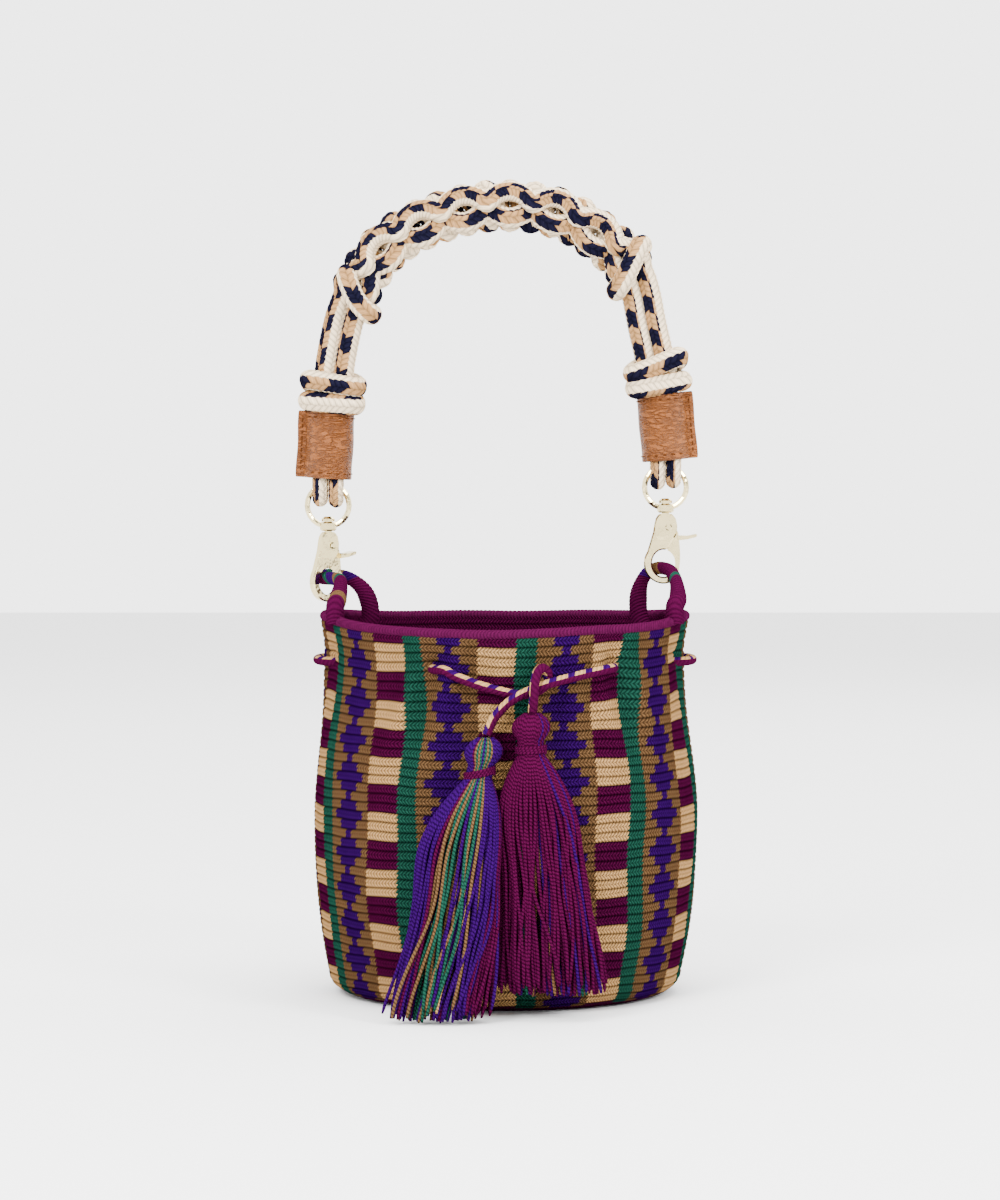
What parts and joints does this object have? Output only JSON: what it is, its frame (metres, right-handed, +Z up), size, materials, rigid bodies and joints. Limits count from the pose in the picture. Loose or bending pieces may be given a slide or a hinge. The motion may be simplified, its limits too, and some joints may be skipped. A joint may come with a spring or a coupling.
{
  "type": "wayuu mochila bag",
  "caption": "Crocheted bucket bag with patterned wall, drawstring with tassels, and a knotted rope handle clipped to yarn loops.",
  "frame": {"origin": "centre of the bag's flat base, on the surface it stands on", "axes": "+Z up, the front with the tassels faces -Y, the handle's ends lie at -X and +X"},
  "size_m": [0.2209, 0.2431, 0.4465],
  "materials": {
    "bag_yarn": "crocheted cotton, patterned in maroon, beige, green, tan and purple",
    "drawstring_yarn": "twisted yarn",
    "loop_yarn": "wrapped yarn with coloured bands",
    "mixed_tassel_yarn": "loose twisted yarn, several colours",
    "maroon_tassel_yarn": "loose twisted yarn",
    "handle_rope": "plaited cord, cream with tan and navy",
    "leather": "waxed, stitched",
    "clasp_metal": "polished pale gold plate",
    "spring_steel": "bright"
  },
  "bodies": {
    "bag": {"crocheted_bag": "bag_yarn", "drawstring": "drawstring_yarn", "loop_left": "loop_yarn", "loop_right": "loop_yarn", "tassel_left_yarn": "mixed_tassel_yarn", "tassel_left_tie": "maroon_tassel_yarn", "tassel_right_yarn": "maroon_tassel_yarn", "tassel_right_tie": "maroon_tassel_yarn"},
    "handle": {"handle_rope_inner": "handle_rope", "handle_rope_outer": "handle_rope", "leather_sleeve_left": "leather", "leather_sleeve_right": "leather", "collar_left": "handle_rope", "collar_right": "handle_rope", "grip_wrap_left": "handle_rope", "grip_wrap_right": "handle_rope", "swivel_ring_left": "clasp_metal", "swivel_ring_right": "clasp_metal"},
    "hook_left": {"hook_body_left": "clasp_metal", "trigger_pin_left": "clasp_metal", "trigger_spring_left": "spring_steel"},
    "trigger_left": {"trigger_left": "clasp_metal"},
    "hook_right": {"hook_body_right": "clasp_metal", "trigger_pin_right": "clasp_metal", "trigger_spring_right": "spring_steel"},
    "trigger_right": {"trigger_right": "clasp_metal"}
  },
  "joints": [
    {"name": "handle_swing", "type": "hinge", "parent": "bag", "child": "handle", "pos_m": [0, 0, 0.2305], "axis": [1, 0, 0], "range_deg": [-90, 90], "deforming": ["loop_left", "loop_right"]},
    {"name": "swivel_left", "type": "hinge", "parent": "handle", "child": "hook_left", "pos_m": [-0.0972, 0, 0.2677], "axis": [0, 0, 1], "range_deg": [-30, 30], "deforming": ["loop_left"]},
    {"name": "trigger_left", "type": "hinge", "parent": "hook_left", "child": "trigger_left", "pos_m": [-0.0959, 0.00109, 0.2457], "axis": [-0.6428, 0.766, 0], "range_deg": [0, 20], "stiffness_Nm_per_rad": 0.03, "springref_deg": -28.65, "deforming": ["loop_left"]},
    {"name": "swivel_right", "type": "hinge", "parent": "handle", "child": "hook_right", "pos_m": [0.0882, 0, 0.2777], "axis": [0, 0, 1], "range_deg": [-30, 30], "deforming": ["loop_right"]},
    {"name": "trigger_right", "type": "hinge", "parent": "hook_right", "child": "trigger_right", "pos_m": [0.0899, 0, 0.2557], "axis": [0, 1, 0], "range_deg": [0, 20], "stiffness_Nm_per_rad": 0.03, "springref_deg": -28.65, "deforming": ["loop_right"]}
  ]
}
